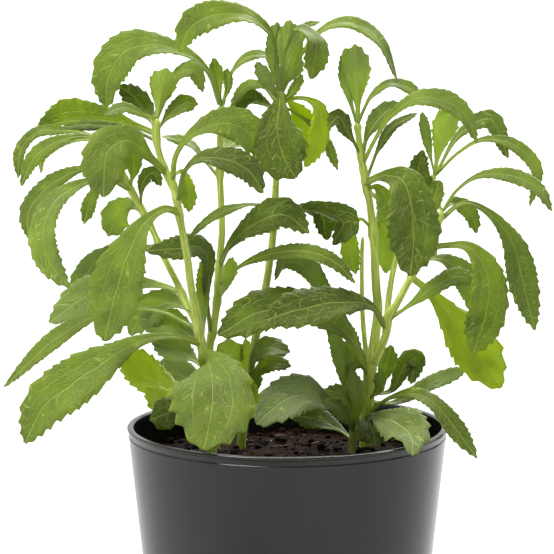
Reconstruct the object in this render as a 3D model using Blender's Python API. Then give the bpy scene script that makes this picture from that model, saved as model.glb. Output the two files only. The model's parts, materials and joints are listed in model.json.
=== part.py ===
"""A stevia plant in a plain dark pot: arching toothed leaves on nine stems, soil and a tapered cover pot.

Lengths are in metres. The origin is the centre of the pot's flat base, +Z points up and -Y is the front.
A stem or a leaf is placed as it is seen from the front: each point of its route is a spot in a square view
of the plant, 554 units wide, with how many millimetres it stands in front of the pot's axis.
"""

import math
from collections import namedtuple

import bmesh
import bpy
import numpy as np
from mathutils import Vector

MM = 0.001
GAP = 0.3 * MM

# The pot
RIM_RADIUS = 65 * MM
POT_HEIGHT = 119 * MM
BASE_RADIUS = 52 * MM
WALL = 2.6 * MM
FLOOR_THICKNESS = 4 * MM
LIP_HEIGHT = 1.3 * MM
GROOVE_HEIGHT = 2.4 * MM
GROOVE_DEPTH = 0.9 * MM
FOOT_CHAMFER = 1.2 * MM
RIM_ROUNDING = 0.5 * MM
POT_SEGMENTS = 48

# The soil
SOIL_BELOW_RIM = 13.5 * MM
SOIL_BUMP = 0.8 * MM
SOIL_RINGS = 6
SOIL_WAVES = (0.19, 0.23)
SOIL_WAVE_START = 0.6
SOIL_SINK = 0.3

# The leaves
LEAF_THICKNESS = 0.8 * MM
LEAF_ROWS = 11
EDGE_SHARE = 0.6
CURVE_STEPS = 12
SMOOTHING_PASSES = 4

# The front view that the routes are given in
VIEW_DISTANCE = 1.1
VIEW_ELEVATION = math.radians(11.2)
VIEW_UNITS_PER_MM = 2.46
VIEW_RIM_CENTRE = (287.5, 425)
VIEW_MIDDLE = 277
VIEW_FOCAL = VIEW_UNITS_PER_MM * VIEW_DISTANCE / MM
VIEW_PITCH = VIEW_ELEVATION - math.atan((VIEW_RIM_CENTRE[1] - VIEW_MIDDLE) / VIEW_FOCAL)
EYE = Vector((
    0,
    -VIEW_DISTANCE * math.cos(VIEW_ELEVATION),
    POT_HEIGHT + VIEW_DISTANCE * math.sin(VIEW_ELEVATION),
))
FORWARD = Vector((0, math.cos(VIEW_PITCH), -math.sin(VIEW_PITCH)))
UPWARD = Vector((0, math.sin(VIEW_PITCH), math.cos(VIEW_PITCH)))

# Each stem: what it grows from, its radius in mm at foot and tip, and its route (across, down, near)
Stem = namedtuple("Stem", "parent radii route")
STEMS = {
    "stem_left_front": Stem("soil", (1.9, 1.2), [
        (217, 486, 4), (213, 460, 4), (208, 400, 5), (205, 367, 6), (197, 320, 7), (190, 280, 8),
        (188, 262, 9),
        (180, 219, 10), (174, 188, 10), (164, 168, 10), (157, 143, 10), (156, 118, 10),
    ]),
    "stem_left_back": Stem("stem_left_front", (1.4, 1.0), [
        (197, 322), (186, 303, 0), (178, 285, -4), (162, 253, -8), (154, 233, -10), (141, 208, -12),
        (130, 188, -14), (121, 170, -16), (118, 152, -17),
    ]),
    "stem_left_upright": Stem("soil", (1.7, 1.2), [
        (217, 477, -14), (216, 451, -14), (211, 400, -13), (210, 345, -12), (213, 330, -12),
        (217, 302, -12), (220, 258, -12), (222, 232, -12), (221, 200, -11), (220, 177, -11),
        (220, 140, -11), (222, 104, -11),
    ]),
    "stem_centre": Stem("soil", (1.9, 1.2), [
        (240, 473, -24), (241, 447, -24), (246, 400, -22), (257, 330, -18), (266, 286, -14),
        (270, 259, -12),
        (273, 236, -10), (276, 182, -6), (277, 163, -5), (278, 120, -3), (280, 92, -3),
    ]),
    "stem_right": Stem("soil", (2.5, 1.2), [
        (364, 474, -20), (365, 449, -20), (367, 408, -17), (370, 372, -13), (376, 330, -10),
        (378, 310, -10),
        (376, 285, -9), (374, 245, -8), (370, 205, -7), (364, 173, -6), (361, 155, -6), (357, 122, -6),
    ]),
    "stem_right_back": Stem("stem_right", (1.1, 0.8), [
        (369, 388), (366, 355, -21), (363, 321, -23), (362, 295, -24), (362, 250, -25), (363, 236, -25),
    ]),
    "stem_right_outer": Stem("stem_right", (1.7, 1.1), [
        (372, 362), (386, 334, -4), (388, 318, -2), (396, 305, 0), (410, 279, 2), (425, 250, 3),
        (437, 225, 3), (442, 210, 3),
    ]),
    "stem_right_middle": Stem("stem_right_outer", (1.2, 0.9), [
        (388, 319), (389, 296, -7), (395, 263, -10), (404, 238, -12), (418, 207, -13), (435, 174, -14),
    ]),
    "stem_low_shoot": Stem("soil", (1.4, 1.0), [
        (351, 479, -9), (352, 454, -9), (353, 438, -8), (354, 422, -8), (352, 406, -9),
    ]),
}

# Each leaf: its stem, its width in mm, its turn in degrees at the foot and at the tip (0 shows its upper face
# to the front, 90 its edge, 180 its underside), the rise of its edges in degrees, and its route
Leaf = namedtuple("Leaf", "stem width turn fold route")
LEAVES = {
    "leaf_crown_arch": Leaf("stem_centre", 12.5, (-100, -5), 14, [
        (279, 96), (277, 58, -7), (268, 30, -3), (246, 14, 3), (215, 14, 7), (190, 27, 9), (180, 52, 10),
    ]),
    "leaf_crown_front": Leaf("stem_centre", 13, (150, 20), 12, [
        (281, 92), (286, 50, 6), (298, 28, 9), (317, 42, 13), (311, 79, 15),
    ]),
    "leaf_crown_back": Leaf("stem_centre", 10, (170, 170), 10, [
        (281, 93), (287, 60, -10), (290, 20, -12),
    ]),
    "leaf_crown_right": Leaf("stem_centre", 9, (60, 60), 10, [
        (281, 94), (306, 48, -9), (326, 27, -12), (351, 22, -13), (380, 40, -14), (397, 80, -14),
    ]),
    "leaf_crown_hanging": Leaf("stem_centre", 20, (0, 0), 14, [
        (279, 100), (279, 106, 9), (277, 130, 15), (284, 158, 17), (296, 178, 17),
    ]),
    "leaf_crown_bright": Leaf("stem_centre", 9.5, (60, 10), 12, [
        (279, 102), (300, 98, 2), (318, 106, 4), (320, 130, 5), (305, 167, 5),
    ]),
    "leaf_upright_arch": Leaf("stem_left_upright", 15.5, (-60, -25), 14, [
        (221, 105), (208, 72, -9), (187, 53, -6), (158, 44, -4), (128, 48, -3), (108, 75, -3),
        (106, 109, -3),
    ]),
    "leaf_upright_right": Leaf("stem_left_upright", 7, (60, 66), 10, [
        (222, 106), (231, 74, -17), (245, 58, -19), (262, 54, -19), (282, 64, -19),
    ]),
    "leaf_front_erect": Leaf("stem_left_front", 11, (165, 165), 14, [
        (156, 122), (160, 98, 6), (167, 68, 5),
    ]),
    "leaf_left_level": Leaf("stem_left_front", 12, (-50, -40), 34, [
        (157, 134), (128, 124, 3), (100, 117, 2), (70, 117, 1), (38, 125, 0),
    ]),
    "leaf_left_droop": Leaf("stem_left_front", 17, (-20, 0), 14, [
        (166, 172), (150, 158, 17), (128, 140, 22), (108, 150, 26), (103, 197, 28),
    ]),
    "leaf_far_left_back": Leaf("stem_left_back", 7, (-60, -40), 10, [
        (118, 153), (90, 135, -23), (60, 130, -27), (36, 132, -29), (20, 150, -30), (18, 178, -30),
    ]),
    "leaf_far_left_front": Leaf("stem_left_back", 7, (-60, -30), 12, [
        (119, 158), (90, 137, -12), (55, 142, -10), (32, 160, -9), (21, 186, -8),
    ]),
    "leaf_left_long": Leaf("stem_left_back", 11, (-50, 0), 12, [
        (131, 189), (108, 180, -6), (80, 184, 0), (53, 203, 5), (42, 232, 8), (48, 260, 9), (69, 288, 10),
    ]),
    "leaf_left_behind": Leaf("stem_left_back", 9, (-50, -20), 12, [
        (123, 172), (98, 168, -24), (72, 172, -28), (46, 188, -30), (28, 212, -31), (28, 238, -31),
    ]),
    "leaf_front_big": Leaf("stem_left_front", 20, (-30, -10), 14, [
        (178, 212), (163, 210, 18), (142, 226, 26), (124, 262, 32), (113, 300, 34), (104, 341, 34),
    ]),
    "leaf_over_arch": Leaf("stem_left_front", 14, (70, 0), 14, [
        (171, 180), (176, 156, 14), (191, 135, 14), (214, 123, 12), (240, 126, 10), (262, 144, 10),
        (275, 163, 8),
    ]),
    "leaf_dark_arch": Leaf("stem_left_front", 11, (90, 10), 14, [
        (176, 200), (184, 173, 21), (201, 157, 25), (226, 159, 26), (248, 169, 26), (263, 193, 26),
    ]),
    "leaf_star": Leaf("stem_left_upright", 13, (40, 20), 16, [
        (220, 264), (232, 243, 0), (256, 222, 8), (285, 214, 12), (309, 233, 14),
    ]),
    "leaf_centre_folded": Leaf("stem_centre", 10, (60, 20), 30, [
        (275, 213), (296, 210, -3), (322, 210, 0), (345, 221, 4), (333, 245, 6),
    ]),
    "leaf_centre_long": Leaf("stem_left_upright", 7, (40, 20), 10, [
        (218, 284), (244, 264, 4), (275, 253, 14), (306, 251, 16), (335, 262, 17), (355, 283, 17),
    ]),
    "leaf_underside": Leaf("stem_right", 11, (-150, -120), 12, [
        (372, 364), (348, 327, -13), (326, 293, -11), (303, 264, -6), (284, 262, -4), (275, 280, -3),
    ]),
    "leaf_left_inner": Leaf("stem_left_upright", 11, (-60, -30), 12, [
        (213, 332), (206, 292, -5), (208, 256, -2), (198, 246, -1), (175, 248, 0), (146, 251, 1),
    ]),
    "leaf_middle_front": Leaf("stem_right_outer", 17, (-50, -20), 12, [
        (387, 326), (370, 306, 8), (342, 301, 18), (305, 307, 24), (265, 320, 28),
    ]),
    "leaf_middle_long": Leaf("stem_right", 18, (-50, -15), 12, [
        (371, 371), (341, 328, 4), (300, 306, 8), (260, 311, 11), (218, 335, 12),
    ]),
    "leaf_middle_upright": Leaf("stem_low_shoot", 8, (160, 140), 10, [
        (352, 408), (343, 378, -7), (339, 350, -9), (327, 328, -9),
    ]),
    "leaf_right_erect": Leaf("stem_right", 11, (170, 170), 12, [
        (357, 124), (357, 85, -5), (355, 44, -5),
    ]),
    "leaf_right_arch": Leaf("stem_right", 9.5, (50, 40), 12, [
        (362, 162), (376, 138, 2), (392, 114, 4), (416, 98, 6), (445, 100, 8), (466, 116, 8), (477, 143, 8),
    ]),
    "leaf_outer_bright": Leaf("stem_right_middle", 10, (160, 160), 12, [
        (434, 177), (441, 140, -11), (452, 104, -11),
    ]),
    "leaf_outer_narrow": Leaf("stem_right_middle", 7, (50, 40), 10, [
        (432, 180), (459, 152, -17), (485, 139, -19), (513, 144, -20), (537, 170, -20), (530, 206, -20),
    ]),
    "leaf_outer_level": Leaf("stem_right_outer", 7, (50, 30), 10, [
        (440, 214), (457, 190, 6), (481, 175, 8), (510, 175, 8), (538, 188, 8), (552, 211, 8),
    ]),
    "leaf_right_hanging": Leaf("stem_right", 20, (40, 0), 14, [
        (367, 182), (386, 176, 10), (403, 180, 19), (411, 201, 23), (414, 236, 25), (410, 276, 25),
    ]),
    "leaf_outer_big": Leaf("stem_right_outer", 12.5, (50, 20), 12, [
        (439, 219), (465, 203, -2), (491, 215, -4), (513, 243, -4), (524, 285, -4), (535, 330, -4),
    ]),
    "leaf_outer_front": Leaf("stem_right_outer", 16.5, (50, 10), 12, [
        (426, 248), (445, 246, 11), (468, 247, 15), (485, 267, 17), (489, 302, 18), (473, 354, 18),
    ]),
    "leaf_outer_pale": Leaf("stem_right_outer", 19, (30, 10), 10, [
        (411, 278), (431, 294, -8), (452, 318, -8), (475, 348, -6), (501, 388, -4),
    ]),
    "leaf_low_left_front": Leaf("stem_left_front", 31, (-10, 0), 10, [
        (206, 373), (208, 362, 26), (212, 382, 45), (211, 413, 55), (203, 450, 60),
    ]),
    "leaf_low_left_wing": Leaf("stem_left_front", 13, (-30, -20), 10, [
        (209, 408), (192, 405, 12), (172, 411, 13), (150, 420, 10),
    ]),
    "leaf_low_left_bright": Leaf("stem_left_front", 15, (-20, -20), 10, [
        (208, 396), (188, 396, -6), (165, 388, -12), (142, 370, -16), (121, 348, -18),
    ]),
    "leaf_low_left_large": Leaf("stem_left_front", 20, (-50, -15), 12, [
        (200, 342), (170, 337, 14), (140, 341, 20), (112, 356, 24), (76, 380, 27), (43, 406, 28),
        (25, 443, 28),
    ]),
    "leaf_low_left_narrow": Leaf("stem_left_front", 9, (-60, -40), 12, [
        (198, 330), (165, 313, -2), (135, 309, -8), (93, 316, -10), (48, 344, -12), (4, 387, -12),
    ]),
    "leaf_low_left_pale": Leaf("stem_left_back", 14, (-40, -10), 10, [
        (180, 291), (162, 286, -14), (135, 283, -20), (96, 290, -24), (49, 322, -26),
    ]),
    "leaf_low_left_grey": Leaf("stem_left_front", 10, (-30, -10), 10, [
        (204, 368), (182, 352, -10), (152, 342, -16),
    ]),
    "leaf_low_round": Leaf("stem_left_upright", 12, (160, 170), 10, [
        (212, 380), (224, 368, -24), (229, 354, -26), (228, 338, -26),
    ]),
    "leaf_low_centre_dark": Leaf("stem_centre", 11, (50, 40), 12, [
        (250, 378), (255, 356, -15), (268, 347, -12), (290, 352, -10),
    ]),
    "leaf_pot_silver": Leaf("stem_low_shoot", 18, (-50, -20), 14, [
        (354, 424), (332, 405, 2), (305, 393, 8), (279, 402, 10), (256, 424, 10),
    ]),
    "leaf_pot_shaded": Leaf("stem_low_shoot", 10, (-40, -20), 10, [
        (353, 440), (336, 427, -20), (312, 417, -28), (292, 416, -32),
    ]),
    "leaf_pot_right_long": Leaf("stem_right", 9, (50, 30), 12, [
        (367, 410), (390, 398, -4), (415, 393, 4), (437, 405, 10), (457, 430, 14), (477, 458, 16),
    ]),
    "leaf_pot_right_pale": Leaf("stem_right", 17, (40, 10), 12, [
        (366, 417), (380, 417, 8), (400, 424, 28), (412, 438, 44), (412, 455, 51),
    ]),
    "leaf_pot_right_curly": Leaf("stem_right", 9, (40, 20), 14, [
        (370, 394), (392, 390, -26), (404, 366, -28), (415, 358, -28), (411, 384, -26),
    ]),
}

# The looks: colour, roughness and, for the pot, a smooth coat
LEAF_COLOUR = (0.16, 0.27, 0.035)
STEM_COLOUR = (0.32, 0.42, 0.09)
SOIL_COLOUR = (0.030, 0.018, 0.011)
POT_COLOUR = (0.045, 0.044, 0.040)


def clear_scene():
    for obj in list(bpy.data.objects):
        bpy.data.objects.remove(obj, do_unlink=True)


def material(name, colour, roughness, metallic=0.0):
    found = bpy.data.materials.get(name)
    if found:
        return found
    made = bpy.data.materials.new(name)
    made.use_nodes = True
    shader = made.node_tree.nodes["Principled BSDF"]
    shader.inputs["Base Color"].default_value = (*colour, 1)
    shader.inputs["Roughness"].default_value = roughness
    shader.inputs["Metallic"].default_value = metallic
    made.diffuse_color = (*colour, 1)
    return made


def add_object(name, data, look, helper=False):
    obj = bpy.data.objects.new(name, data)
    bpy.context.scene.collection.objects.link(obj)
    obj.data.materials.append(look)
    if helper:
        obj.hide_render = True
        obj.display_type = "WIRE"
    return obj


def mesh_object(name, bm, look, helper=False):
    bmesh.ops.recalc_face_normals(bm, faces=bm.faces)
    mesh = bpy.data.meshes.new(name)
    bm.to_mesh(mesh)
    bm.free()
    mesh.shade_smooth()
    mesh.set_sharp_from_angle(angle=math.radians(40))
    return add_object(name, mesh, look, helper)


def seen(across, down, near):
    """The point that shows at this spot, on the upright plane near mm in front of the pot's axis."""
    ray = ray_to(across, down)
    return EYE + ray * ((-near * MM - EYE.y) / ray.y)


def ray_to(across, down):
    right = Vector((1, 0, 0)) * ((across - VIEW_RIM_CENTRE[0]) / VIEW_FOCAL)
    return FORWARD + right - UPWARD * ((down - VIEW_MIDDLE) / VIEW_FOCAL)


def smooth_curve(points, count):
    """count points, evenly spaced along a centripetal Catmull-Rom curve through the given ones."""
    ends = [points[0] * 2 - points[1], *points, points[-1] * 2 - points[-2]]
    fine = []
    for a, b, c, d in zip(ends, ends[1:], ends[2:], ends[3:]):
        knots = np.cumsum([0] + [math.sqrt((q - p).length) for p, q in ((a, b), (b, c), (c, d))])
        for t in np.linspace(knots[1], knots[2], CURVE_STEPS, endpoint=False):
            fine.append(blend_four((a, b, c, d), knots, t))
    fine.append(points[-1])
    run = np.cumsum([0] + [(q - p).length for p, q in zip(fine, fine[1:])])
    coordinates = list(zip(*fine))
    wanted = np.linspace(0, run[-1], count)
    return [Vector([float(np.interp(w, run, values)) for values in coordinates]) for w in wanted]


def blend_four(points, knots, t):
    level = list(points)
    for step in (1, 2, 3):
        nearer = []
        for i in range(4 - step):
            low, high = (knots[1], knots[2]) if step == 3 else (knots[i], knots[i + step])
            share = (t - low) / (high - low)
            nearer.append(level[i].lerp(level[i + 1], share))
        level = nearer
    return level[0]


def stem_line(name):
    """The stem's centre line and its radius at each point of it."""
    stem = STEMS[name]
    if stem.parent == "soil":
        points = [seen(*spot) for spot in stem.route]
    else:
        start = foot_on(stem.parent, stem.route, stem.radii[0] * MM)
        points = [start, *(seen(*spot) for spot in stem.route[1:])]
    count = 2 * len(points)
    line = smooth_curve(points, count)
    return line, np.linspace(stem.radii[0] * MM, stem.radii[1] * MM, count)


def foot_on(parent, route, half_size):
    """Where something half_size thick starts, just clear of its parent, beside the route's first spot."""
    line, radii = stem_line(parent)
    ray = ray_to(*route[0]).normalized()
    index = min(range(len(line)), key=lambda i: (line[i] - EYE).cross(ray).length)
    along = (line[min(index + 1, len(line) - 1)] - line[max(index - 1, 0)]).normalized()
    centre = line[index]
    if 0 < index < len(line) - 1:
        spot = EYE + ray * (centre - EYE).length
        centre = centre + along * (spot - centre).dot(along)
    outward = seen(*route[1]) - centre
    outward = (outward - along * outward.dot(along)).normalized()
    return centre + outward * (radii[index] + GAP + half_size)


def ring_profile(points, segments):
    """A closed turned solid: the profile runs from the axis at the bottom to the axis at the top."""
    bm = bmesh.new()
    rings = []
    for radius, height in points:
        if radius == 0:
            rings.append([bm.verts.new((0, 0, height))])
            continue
        angles = [2 * math.pi * i / segments for i in range(segments)]
        rings.append([bm.verts.new((radius * math.cos(a), radius * math.sin(a), height)) for a in angles])
    for low, high in zip(rings, rings[1:]):
        for i in range(segments):
            j = (i + 1) % segments
            corners = [low[i % len(low)], low[j % len(low)], high[j % len(high)], high[i % len(high)]]
            bm.faces.new(list(dict.fromkeys(corners)))
    return bm


def pot_radius(height):
    """The body's outer radius at this height, without its lip."""
    share = height / (POT_HEIGHT - LIP_HEIGHT - GROOVE_HEIGHT)
    return BASE_RADIUS + (RIM_RADIUS - RIM_ROUNDING - BASE_RADIUS) * share


def build_pot():
    lip_foot = POT_HEIGHT - LIP_HEIGHT
    body_top = lip_foot - GROOVE_HEIGHT
    inner_top = RIM_RADIUS - WALL
    inner_floor = pot_radius(FLOOR_THICKNESS) - WALL
    profile = [
        (0, 0),
        (BASE_RADIUS - FOOT_CHAMFER, 0),
        (BASE_RADIUS, FOOT_CHAMFER),
        (pot_radius(body_top), body_top),
        (RIM_RADIUS - GROOVE_DEPTH, body_top + RIM_ROUNDING),
        (RIM_RADIUS - GROOVE_DEPTH, lip_foot - RIM_ROUNDING),
        (RIM_RADIUS, lip_foot),
        (RIM_RADIUS, POT_HEIGHT - RIM_ROUNDING),
        (RIM_RADIUS - RIM_ROUNDING, POT_HEIGHT),
        (inner_top + RIM_ROUNDING, POT_HEIGHT),
        (inner_top, POT_HEIGHT - RIM_ROUNDING),
        (inner_floor, FLOOR_THICKNESS),
        (0, FLOOR_THICKNESS),
    ]
    bm = ring_profile(profile, POT_SEGMENTS)
    return mesh_object("pot", bm, material("pot", POT_COLOUR, 0.38))


def inner_radius(height):
    """The pot's inner radius at this height."""
    low, high = FLOOR_THICKNESS, POT_HEIGHT - RIM_ROUNDING
    foot, top = pot_radius(FLOOR_THICKNESS) - WALL, RIM_RADIUS - WALL
    return foot + (top - foot) * (height - low) / (high - low)


def build_soil():
    top = POT_HEIGHT - SOIL_BELOW_RIM
    bottom = FLOOR_THICKNESS + GAP
    edge = inner_radius(top) - 2 * GAP
    profile = [(0, bottom), (inner_radius(bottom) - 2 * GAP, bottom), (edge, top)]
    profile += [(edge * (1 - i / SOIL_RINGS), top) for i in range(1, SOIL_RINGS + 1)]
    bm = ring_profile(profile, POT_SEGMENTS)
    for vert in bm.verts:
        if vert.co.z > top - GAP:
            x, y = vert.co.x / MM, vert.co.y / MM
            wave = math.sin(SOIL_WAVES[0] * x + SOIL_WAVE_START) * math.cos(SOIL_WAVES[1] * y)
            vert.co.z += SOIL_BUMP * (wave - SOIL_SINK)
    soil = mesh_object("soil", bm, material("soil", SOIL_COLOUR, 0.95))
    for name, stem in STEMS.items():
        if stem.parent != "soil":
            continue
        cutter = build_tube(name + "_socket", *stem_line(name), grow=GAP, helper=True)
        cut = soil.modifiers.new(cutter.name, "BOOLEAN")
        cut.operation = "DIFFERENCE"
        cut.solver = "EXACT"
        cut.object = cutter
    return soil


def crossing_frames(line):
    """For each point of a line, its tangent and two directions across it, turning as little as they can."""
    last = len(line) - 1
    tangents = [(line[min(i + 1, last)] - line[max(i - 1, 0)]).normalized() for i in range(last + 1)]
    side = tangents[0].cross(Vector((0, -1, 0))).normalized()
    frames = []
    for tangent in tangents:
        side = (side - tangent * side.dot(tangent)).normalized()
        frames.append((tangent, side, side.cross(tangent)))
    return frames


def build_tube(name, line, radii, sides=6, grow=0.0, helper=False):
    """A tapered stem with flat ends. grow makes it larger all round, for the socket that it stands in."""
    bm = bmesh.new()
    rings = []
    for point, radius, (tangent, side, front) in zip(line, radii, crossing_frames(line)):
        ring = []
        for i in range(sides):
            angle = 2 * math.pi * i / sides
            outward = side * math.cos(angle) + front * math.sin(angle)
            ring.append(bm.verts.new(point + outward * (radius + grow)))
        rings.append(ring)
    if grow:
        for vert in rings[0]:
            vert.co.z -= grow
    for low, high in zip(rings, rings[1:]):
        for i in range(sides):
            j = (i + 1) % sides
            bm.faces.new((low[i], low[j], high[j], high[i]))
    bm.faces.new(rings[0])
    bm.faces.new(rings[-1])
    return mesh_object(name, bm, material("stem", STEM_COLOUR, 0.55), helper)


def leaf_half_width(share):
    """Half of the leaf's width, as a share of its widest, from its foot at 0 to its tip at 1."""
    stops = (0, 0.12, 0.26, 0.42, 0.56, 0.70, 0.82, 0.92, 0.975, 1.0)
    widths = (0.17, 0.18, 0.32, 0.62, 0.87, 1.0, 0.93, 0.66, 0.40, 0.16)
    return 0.5 * float(np.interp(share, stops, widths))


def leaf_frames(line, turn):
    """At each midrib point, the direction across the blade and the direction its upper face looks in."""
    last = len(line) - 1
    tangents = [(line[min(i + 1, last)] - line[max(i - 1, 0)]).normalized() for i in range(last + 1)]
    sideways = [tangent.cross((EYE - point).normalized()) for point, tangent in zip(line, tangents)]
    for _ in range(SMOOTHING_PASSES):
        sideways = [
            sideways[max(i - 1, 0)] + sideways[i] * 2 + sideways[min(i + 1, last)] for i in range(last + 1)
        ]
    frames = []
    for i, (tangent, side) in enumerate(zip(tangents, sideways)):
        side = (side - tangent * side.dot(tangent)).normalized()
        facing = side.cross(tangent)
        angle = math.radians(turn[0] + (turn[1] - turn[0]) * i / last)
        across = side * math.cos(angle) + facing * math.sin(angle)
        frames.append((across, across.cross(tangent)))
    return frames


def build_leaf(name):
    leaf = LEAVES[name]
    foot = foot_on(leaf.stem, leaf.route, leaf.width * MM * leaf_half_width(0))
    line = smooth_curve([foot, *(seen(*spot) for spot in leaf.route[1:])], LEAF_ROWS)
    lift = math.tan(math.radians(leaf.fold))
    middle = 0.5 * LEAF_THICKNESS
    edge = middle * EDGE_SHARE
    bm = bmesh.new()
    rows = []
    for i, (point, (across, up)) in enumerate(zip(line, leaf_frames(line, leaf.turn))):
        half = leaf.width * MM * leaf_half_width(i / (LEAF_ROWS - 1))
        rise = half * lift
        outline = [
            (-half, rise + edge), (-half, rise - edge), (0, -middle),
            (half, rise - edge), (half, rise + edge), (0, middle),
        ]
        rows.append([bm.verts.new(point + across * x + up * z) for x, z in outline])
    for low, high in zip(rows, rows[1:]):
        for i in range(len(low)):
            j = (i + 1) % len(low)
            bm.faces.new((low[i], low[j], high[j], high[i]))
    for end in (rows[0], rows[-1]):
        bm.faces.new((end[0], end[1], end[2], end[5]))
        bm.faces.new((end[5], end[2], end[3], end[4]))
    return mesh_object(name, bm, material("leaf", LEAF_COLOUR, 0.5))


def main():
    clear_scene()
    build_pot()
    build_soil()
    for name in STEMS:
        build_tube(name, *stem_line(name))
    for name in LEAVES:
        build_leaf(name)


main()
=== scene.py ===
"""The looks of the potted stevia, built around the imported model: blades with veins and toothed edges, hairy
stems, crumbly soil and a satin pot, on a white studio floor.

Lengths are in metres. Routes repeat the CAD model's: each point is a spot in the photograph's view (554 units
wide) with how many millimetres it stands in front of the pot's axis.
"""

import json
import math
import random
from collections import namedtuple

import bmesh
import bpy
import numpy as np
from mathutils import Matrix, Vector, noise

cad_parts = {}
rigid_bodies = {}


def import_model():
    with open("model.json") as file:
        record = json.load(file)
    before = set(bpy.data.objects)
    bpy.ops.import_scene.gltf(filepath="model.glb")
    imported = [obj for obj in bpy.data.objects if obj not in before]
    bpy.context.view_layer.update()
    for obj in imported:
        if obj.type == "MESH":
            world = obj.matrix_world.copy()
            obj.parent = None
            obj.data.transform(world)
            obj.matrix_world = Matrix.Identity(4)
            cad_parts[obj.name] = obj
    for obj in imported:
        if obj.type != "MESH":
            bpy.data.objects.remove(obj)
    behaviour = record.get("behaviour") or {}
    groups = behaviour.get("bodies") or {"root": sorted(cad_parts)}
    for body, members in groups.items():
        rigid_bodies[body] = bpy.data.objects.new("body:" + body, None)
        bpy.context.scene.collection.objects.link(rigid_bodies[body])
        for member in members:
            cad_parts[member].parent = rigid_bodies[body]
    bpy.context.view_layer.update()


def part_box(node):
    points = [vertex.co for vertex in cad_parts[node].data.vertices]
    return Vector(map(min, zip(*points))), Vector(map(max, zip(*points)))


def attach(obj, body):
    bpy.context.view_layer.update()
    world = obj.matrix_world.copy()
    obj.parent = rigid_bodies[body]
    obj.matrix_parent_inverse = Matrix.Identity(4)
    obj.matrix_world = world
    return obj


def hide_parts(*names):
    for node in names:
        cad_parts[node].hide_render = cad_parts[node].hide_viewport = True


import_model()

MM = 0.001
POT_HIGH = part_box("pot")[1]
POT_HEIGHT = POT_HIGH.z
RIM_RADIUS = POT_HIGH.x
SOIL_LOW, SOIL_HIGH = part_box("soil")
SOIL_RADIUS = SOIL_HIGH.x

# The photograph's view
VIEW_DISTANCE = 1.1
VIEW_ELEVATION = math.radians(11.2)
VIEW_UNITS_PER_MM = 2.46
VIEW_RIM_CENTRE = (287.5, 425)
VIEW_WIDTH = 554
VIEW_MIDDLE = 277
VIEW_FOCAL = VIEW_UNITS_PER_MM * VIEW_DISTANCE / MM
VIEW_PITCH = VIEW_ELEVATION - math.atan((VIEW_RIM_CENTRE[1] - VIEW_MIDDLE) / VIEW_FOCAL)
SENSOR_WIDTH = 36.0
EYE = Vector((
    0,
    -VIEW_DISTANCE * math.cos(VIEW_ELEVATION),
    POT_HEIGHT + VIEW_DISTANCE * math.sin(VIEW_ELEVATION),
))
FORWARD = Vector((0, math.cos(VIEW_PITCH), -math.sin(VIEW_PITCH)))
UPWARD = Vector((0, math.sin(VIEW_PITCH), math.cos(VIEW_PITCH)))
CURVE_STEPS = 16

# The pot, from its foot up to its rim
BASE_RADIUS = 52 * MM
BASE_HOLLOW = 0.6 * MM
BASE_RING_INSETS = (6 * MM, 5 * MM)
BASE_ROUNDING = 1.2 * MM
FLOOR_THICKNESS = 4 * MM
BODY_FOOT = 2.2 * MM
BODY_END = 0.6 * MM
SHOULDER_DROP = 0.3 * MM
SHOULDER_ROUNDING = 0.5 * MM
GROOVE_HEIGHT = 2.4 * MM
GROOVE_DEPTH = 0.9 * MM
GROOVE_MARGINS = (0.45 * MM, 0.35 * MM)
LIP_HEIGHT = 1.3 * MM
LIP_OVERHANG = 0.6 * MM
LIP_ROUNDING = 0.45 * MM
RIM_ROUNDING = 0.5 * MM
WALL = 2.6 * MM
INNER_CORNER = 2 * MM
POT_SEGMENTS = 224

# The leaves' fine shape: the teeth's sizes hold a length and the share of the leaf's width that it grows by,
# and the depths of the blade's form are shares of half its width
BLADE_GRID = (96, 18)
SMALL_BLADE_GRID = (60, 12)
WIDTH_SHARE = 1.08
LEAF_SINK = 0.6 * MM
BLADE_THICKNESS = 0.45 * MM
TOOTH_SPACING = (1.3 * MM, 0.20)
TOOTH_DEPTH = (0.35 * MM, 0.05)
TOOTH_LEAN = 0.7
FOLD_SHARE = 1.5
VEIN_OFFSET = 0.47
VALLEY_DEPTH = 0.03
QUILT_DEPTH = 0.045
QUILT_LENGTHS = (2.6 * MM, 1.3 * MM)
MARGIN_ROLL = 0.20
WAVE_DEPTH = 0.14
RIB_WIDTH = 0.55 * MM
RIB_DEPTH = 0.45 * MM
RIB_GROOVE = 0.16 * MM

# The stems' fine shape
STEM_SIDES = 18
STEM_STEP = 1.1 * MM
STEM_TIP = 1.5 * MM
NODE_SWELL = 0.45 * MM
NODE_LENGTH = 2.6 * MM
HAIRS_PER_MM = 9
HAIR_LENGTH = 1.1 * MM
HAIR_RADIUS = 0.06 * MM
HAIR_SINK = 0.1 * MM
HAIRLESS_FOOT = 2 * MM

# The soil's fine shape
SOIL_TOP = POT_HEIGHT - 13.5 * MM
SOIL_FOOT_RADIUS = SOIL_RADIUS - 9.5 * MM
SOIL_EDGE_START = 0.93
SOIL_EDGE_DROP = 2.5 * MM
SOIL_RINGS = 46
SOIL_SECTORS = 150
SOIL_CRUMBS = 620
SOIL_BITS = 70
SOIL_BIT_SIZES = (0.4 * MM, 1.1 * MM)
LARGE_CRUMB = 1.2 * MM

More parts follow.
